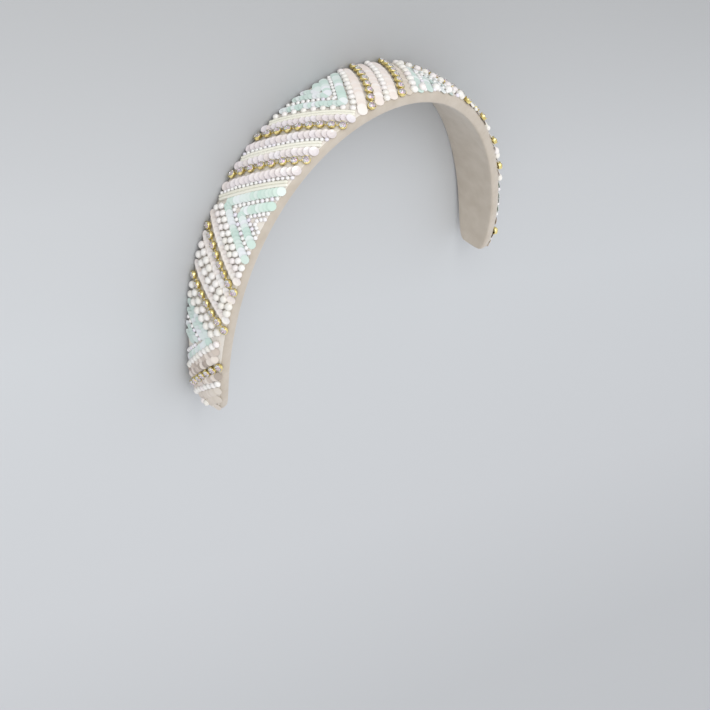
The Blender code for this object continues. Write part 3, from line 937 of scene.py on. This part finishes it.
def make_foil():
    """Smoky silver foil behind the stones, lilac here, pink or greenish there."""
    material, nodes, links, shader = new_finish("silver_foil", (0.6, 0.57, 0.55), 0.16, 1.0)
    stops = (
        (0.0, (0.60, 0.51, 0.57)),
        (0.35, (0.66, 0.60, 0.52)),
        (0.7, (0.55, 0.58, 0.48)),
        (1.0, (0.68, 0.55, 0.46)),
    )
    links.new(ramp(nodes, links, tone_of(nodes), stops), shader.inputs["Base Color"])
    return material


# What each kind is finished with: its colours from low tone to high tone, each with its place between
# 0 and 1, its roughness, and how metallic it is
TONES = {
    "pearl": (
        ((0.0, (0.80, 0.77, 0.70)), (0.5, (0.84, 0.82, 0.78)), (1.0, (0.82, 0.76, 0.74))), 0.30, 0.0),
    "seed": (
        ((0.0, (0.78, 0.78, 0.75)), (0.6, (0.84, 0.82, 0.80)), (1.0, (0.76, 0.72, 0.80))), 0.24, 0.0),
    "sequin": (
        ((0.0, (0.76, 0.68, 0.65)), (0.5, (0.80, 0.72, 0.72)), (1.0, (0.82, 0.77, 0.78))), 0.30, 0.08),
    "blush": (
        ((0.0, (0.84, 0.75, 0.69)), (0.5, (0.88, 0.80, 0.75)), (1.0, (0.90, 0.86, 0.83))), 0.30, 0.0),
    "shingle": (
        ((0.0, (0.84, 0.73, 0.66)), (0.5, (0.87, 0.78, 0.71)), (1.0, (0.89, 0.83, 0.78))), 0.32, 0.0),
    "cream": (((0.0, (0.68, 0.60, 0.49)), (1.0, (0.78, 0.70, 0.60))), 0.32, 0.03),
    "frill": (
        ((0.0, (0.40, 0.32, 0.27)), (0.4, (0.60, 0.50, 0.43)), (1.0, (0.82, 0.73, 0.66))), 0.32, 0.05),
    "mint": (
        ((0.0, (0.58, 0.72, 0.64)), (0.5, (0.66, 0.76, 0.69)),
         (0.8, (0.78, 0.83, 0.80)), (1.0, (0.84, 0.84, 0.86))), 0.28, 0.0),
    "rope": (((0.0, (0.80, 0.78, 0.66)), (1.0, (0.84, 0.82, 0.72))), 0.45, 0.0),
    # The backing is lighter than the satin as painted light, to lift the shade in the gaps between beads.
    "backing_painted_light": (((0.0, (0.76, 0.71, 0.64)), (1.0, (0.76, 0.71, 0.64))), 0.8, 0.0),
}


def make_finishes():
    """One finish for each kind of row, and those of the satin, cups, stones and foils. Beads have a
    clear coat, discs a coat with a thin film, and the smaller and larger beads share a finish."""
    coat = {"Coat_Weight": 0.7, "Coat_Roughness": 0.14}
    film = {"Coat_Weight": 0.8, "Coat_Roughness": 0.12,
            "Thin_Film_Thickness": 380.0, "Thin_Film_IOR": 1.4}
    extra = {"pearl": coat, "seed": coat, "rope": {"Sheen_Weight": 0.3}, "backing_painted_light": {}}
    made = {}
    for kind, values in TONES.items():
        made[kind] = toned(f"{kind}_finish", *values, **extra.get(kind, film))
    for kind in ("small_pearl", "dot", "edge_pearl"):
        made[kind] = made["pearl"]
    made["tiny"] = made["seed"]
    made["satin"], made["gold"] = make_satin(), make_gold()
    made["crystal"], made["foil"] = make_crystal(), make_foil()
    return made


def build_floor():
    """A pale floor, far larger than the view. Its tone runs through the stops along one level direction,
    by the dot product of that direction and Object coordinates, and darkens past the band: painted
    shade, lighter in the middle and darker toward both ends.
    """
    mesh = bpy.data.meshes.new("floor")
    corners = [(-1, -1, 0), (1, -1, 0), (1, 1, 0), (-1, 1, 0)]
    mesh.from_pydata((np.array(corners) * FLOOR_REACH).tolist(), [], [(0, 1, 2, 3)])
    material, nodes, links, shader = new_finish("pale_floor_painted_shade", (0.50, 0.51, 0.52), 0.8)
    coordinates = nodes.new("ShaderNodeTexCoord")
    along = nodes.new("ShaderNodeVectorMath")
    along.operation = "DOT_PRODUCT"
    along.inputs[1].default_value = (*FLOOR_SHADE_DIRECTION, 0.0)
    links.new(coordinates.outputs["Object"], along.inputs[0])
    share = nodes.new("ShaderNodeMapRange")
    share.inputs["From Min"].default_value, share.inputs["From Max"].default_value = FLOOR_SHADE_SPAN
    links.new(along.outputs["Value"], share.inputs["Value"])
    # The tone ramp is painted shade: lighter in the middle of the floor, darker toward both ends.
    tone = ramp(nodes, links, share.outputs["Result"], FLOOR_SHADE_STOPS)
    links.new(tone, shader.inputs["Base Color"])
    mesh.materials.append(material)
    obj = bpy.data.objects.new("floor", mesh)
    bpy.context.collection.objects.link(obj)


def build_light(name, at, aim, size, watts):
    """A square area light that faces its aim, in metres."""
    data = bpy.data.lights.new(name, "AREA")
    data.shape = "SQUARE"
    data.size = size
    data.energy = watts
    obj = bpy.data.objects.new(name, data)
    bpy.context.collection.objects.link(obj)
    back = unit(np.array(at) - np.array(aim))
    obj.matrix_world = looking(at, back, 0.0)


def looking(at, back, roll):
    """A matrix at a place, its z axis along back and its x axis level, then rolled about back."""
    level = unit(np.cross([0.0, 0.0, 1.0], back))
    above = np.cross(back, level)
    c, s = math.cos(roll), math.sin(roll)
    right, up = level * c + above * s, above * c - level * s
    matrix = np.eye(4)
    matrix[:3, 0], matrix[:3, 1], matrix[:3, 2], matrix[:3, 3] = right, up, back, at
    return Matrix(matrix.tolist())


def build_camera():
    """The camera at its place, looking at its aim and rolled."""
    data = bpy.data.cameras.new("camera")
    data.sensor_fit = "HORIZONTAL"
    data.sensor_width = SENSOR
    data.lens = LENS
    data.clip_start, data.clip_end = 0.01, 20.0
    obj = bpy.data.objects.new("camera", data)
    bpy.context.collection.objects.link(obj)
    at, aim = np.array(CAMERA_AT) * MM, np.array(CAMERA_AIM) * MM
    obj.matrix_world = looking(at, unit(at - aim), math.radians(CAMERA_ROLL))
    bpy.context.scene.camera = obj


def build_world():
    """An even pale light from all round."""
    world = bpy.data.worlds.new("soft_room")
    world.use_nodes = True
    background = world.node_tree.nodes["Background"]
    background.inputs["Color"].default_value = (*ROOM_TONE, 1.0)
    background.inputs["Strength"].default_value = ROOM_STRENGTH
    bpy.context.scene.world = world


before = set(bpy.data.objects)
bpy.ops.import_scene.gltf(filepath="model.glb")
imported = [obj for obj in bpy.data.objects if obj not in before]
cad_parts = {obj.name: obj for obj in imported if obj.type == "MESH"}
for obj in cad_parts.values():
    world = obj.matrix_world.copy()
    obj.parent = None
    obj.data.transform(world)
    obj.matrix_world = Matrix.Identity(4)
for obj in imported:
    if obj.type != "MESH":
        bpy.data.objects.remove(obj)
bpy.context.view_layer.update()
SHIFT = np.zeros(3)  # place() adds it, so it is 0 while it is measured
SHIFT = place_shift()
FINISH = make_finishes()

# Repeated shapes, each made once
PEARL, SEED, SEQUIN, SPANGLE = ball(12, 6), ball(8, 5), cupped_disc(12), flat_disc(12)
CUP, STONE, FOIL, BAR = toothed_cup(24), cut_stone(), foil_cone(16), ball(8, 4)

build_band()
for chain in CHAINS:
    build_chain(chain)
for group in GROUPS:
    build_group(*group)
for field in FIELDS:
    build_field(*field)
build_floor()
build_world()
build_light("key", KEY_AT, KEY_AIM, KEY_SIZE, KEY_WATTS)
build_camera()
bpy.context.scene.view_settings.view_transform = "Standard"
